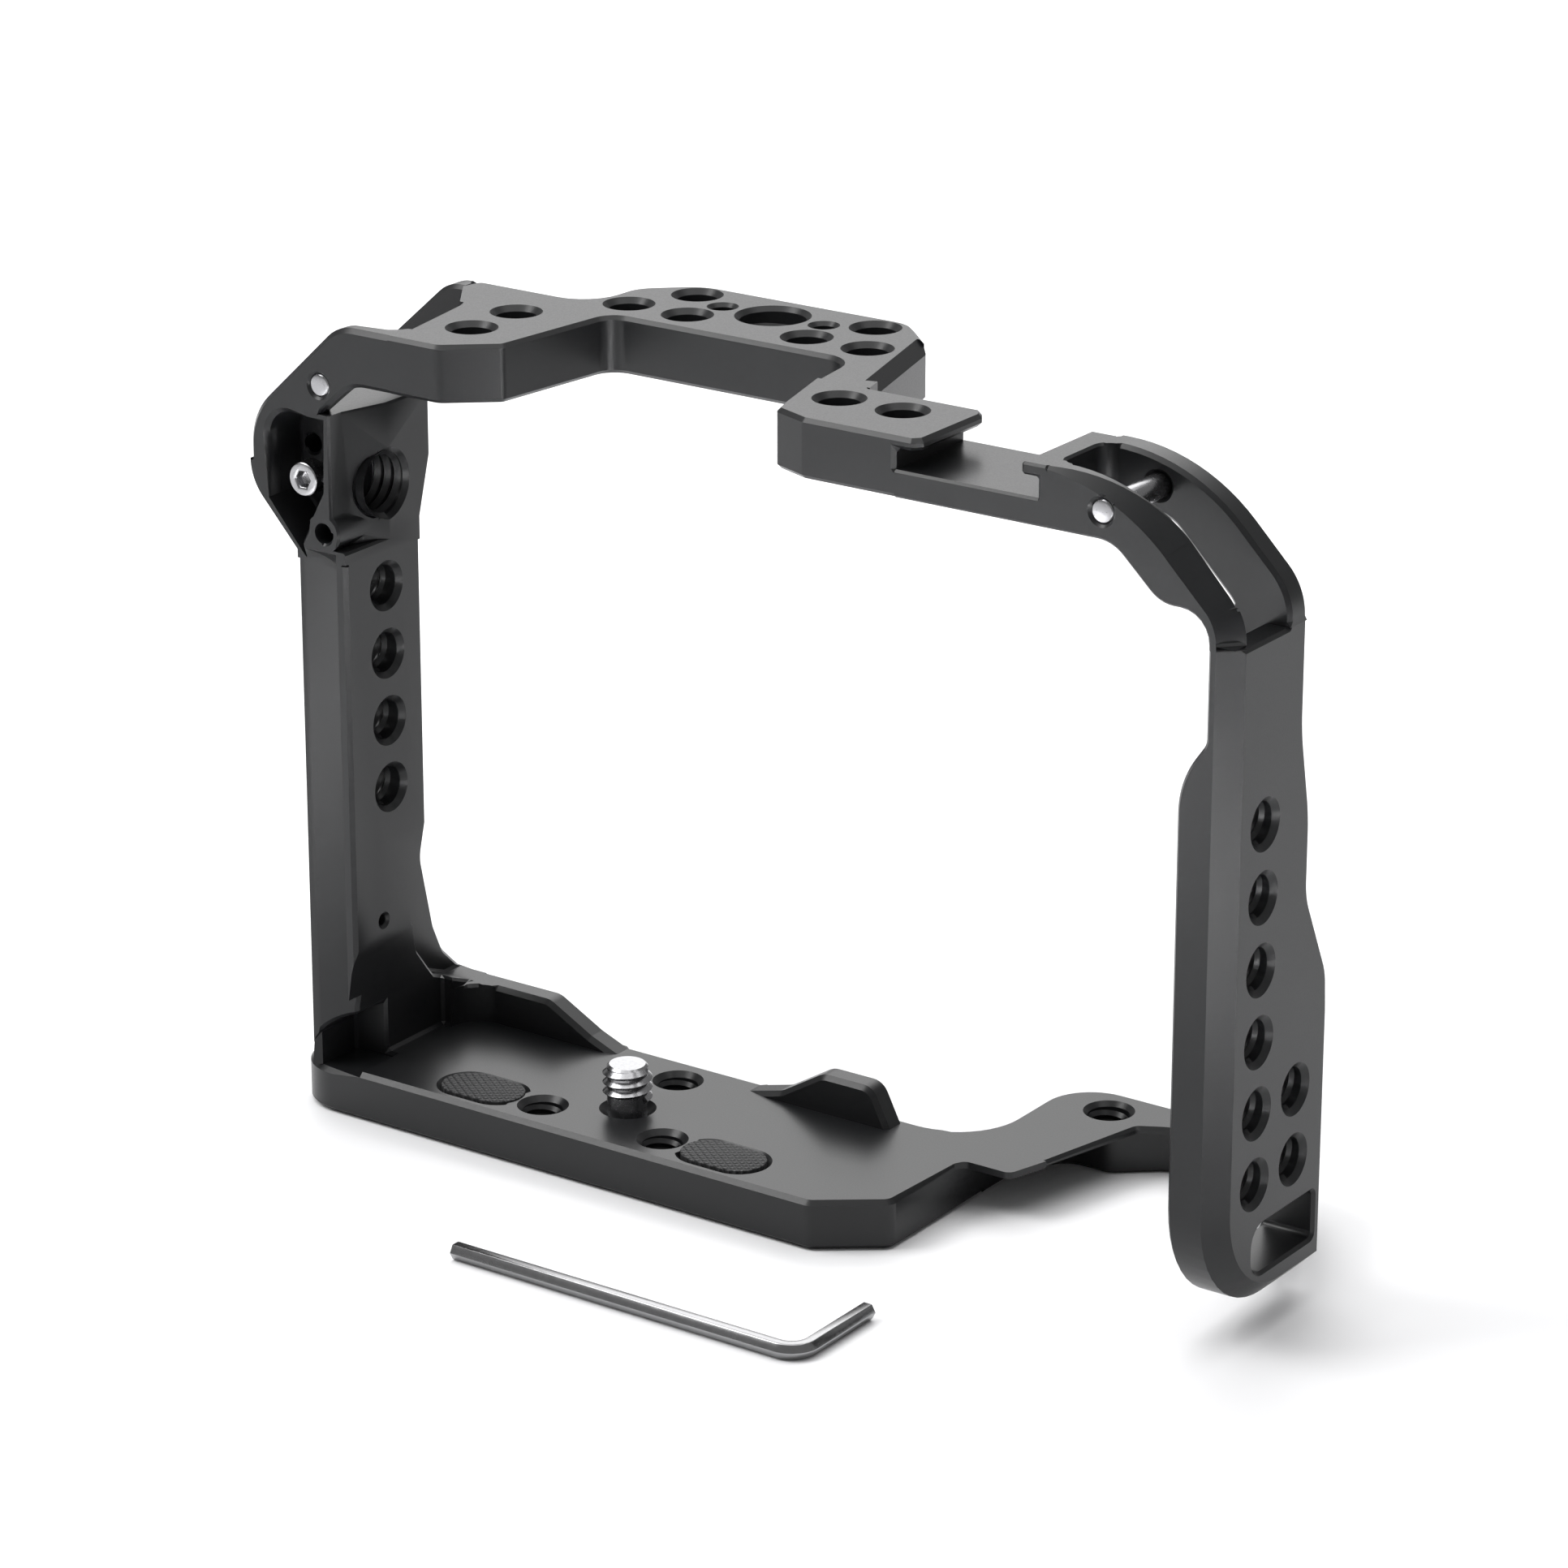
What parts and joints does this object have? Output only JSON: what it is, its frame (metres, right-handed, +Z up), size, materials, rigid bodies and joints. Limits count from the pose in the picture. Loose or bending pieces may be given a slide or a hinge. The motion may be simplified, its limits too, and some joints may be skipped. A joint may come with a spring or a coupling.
{
  "type": "camera cage",
  "caption": "Full camera cage: a machined frame round a camera body with strap slots, a cold shoe, threaded accessory holes, a captive tripod screw, a cable-lug clamp screw and a hex key",
  "frame": {"origin": "the tripod screw's axis at the top face of the base plate, which is also the centre of the ring of three accessory holes", "axes": "+X along the base towards the hand grip side, +Y towards the lens side, +Z up"},
  "size_m": [0.1426, 0.0776, 0.1054],
  "materials": {
    "anodised_black": "fine bead-blasted black anodised aluminium",
    "stainless_steel": "bright turned stainless steel",
    "pin_steel": "plain ground steel",
    "pad_rubber": "matte black rubber with a diamond pattern",
    "key_nickel": "nickel-plated steel"
  },
  "bodies": {
    "frame": {"base_plate": "anodised_black", "front_lip_left": "anodised_black", "front_lip_right": "anodised_black", "grip_arm": "anodised_black", "left_column": "anodised_black", "lug_block": "anodised_black", "left_strap_near_wall": "anodised_black", "left_strap_far_wall": "anodised_black", "top_plate": "anodised_black", "shoe_block": "anodised_black", "shoe_bar": "anodised_black", "right_corner_root": "anodised_black", "right_strap_near_wall": "anodised_black", "right_strap_far_wall": "anodised_black", "right_column": "anodised_black", "left_strap_pin": "pin_steel", "right_strap_pin": "pin_steel", "rubber_pad_left": "pad_rubber", "rubber_pad_right": "pad_rubber"},
    "tripod_screw": {"tripod_screw": "stainless_steel"},
    "lug_screw": {"lug_screw": "stainless_steel"},
    "hex_key": {"hex_key": "key_nickel"}
  },
  "joints": [
    {"name": "tripod_screw_turn", "type": "hinge", "parent": "frame", "child": "tripod_screw", "pos_m": [0, 0, 0], "axis": [0, 0, 1], "continuous": true},
    {"name": "lug_screw_turn", "type": "hinge", "parent": "frame", "child": "lug_screw", "pos_m": [-0.0416, 0, 0.0782], "axis": [0, 1, 0], "continuous": true},
    {"name": "hex_key_lift", "type": "slide", "parent": "frame", "child": "hex_key", "axis": [0, 0, 1], "range_m": [0, 0.03]}
  ]
}
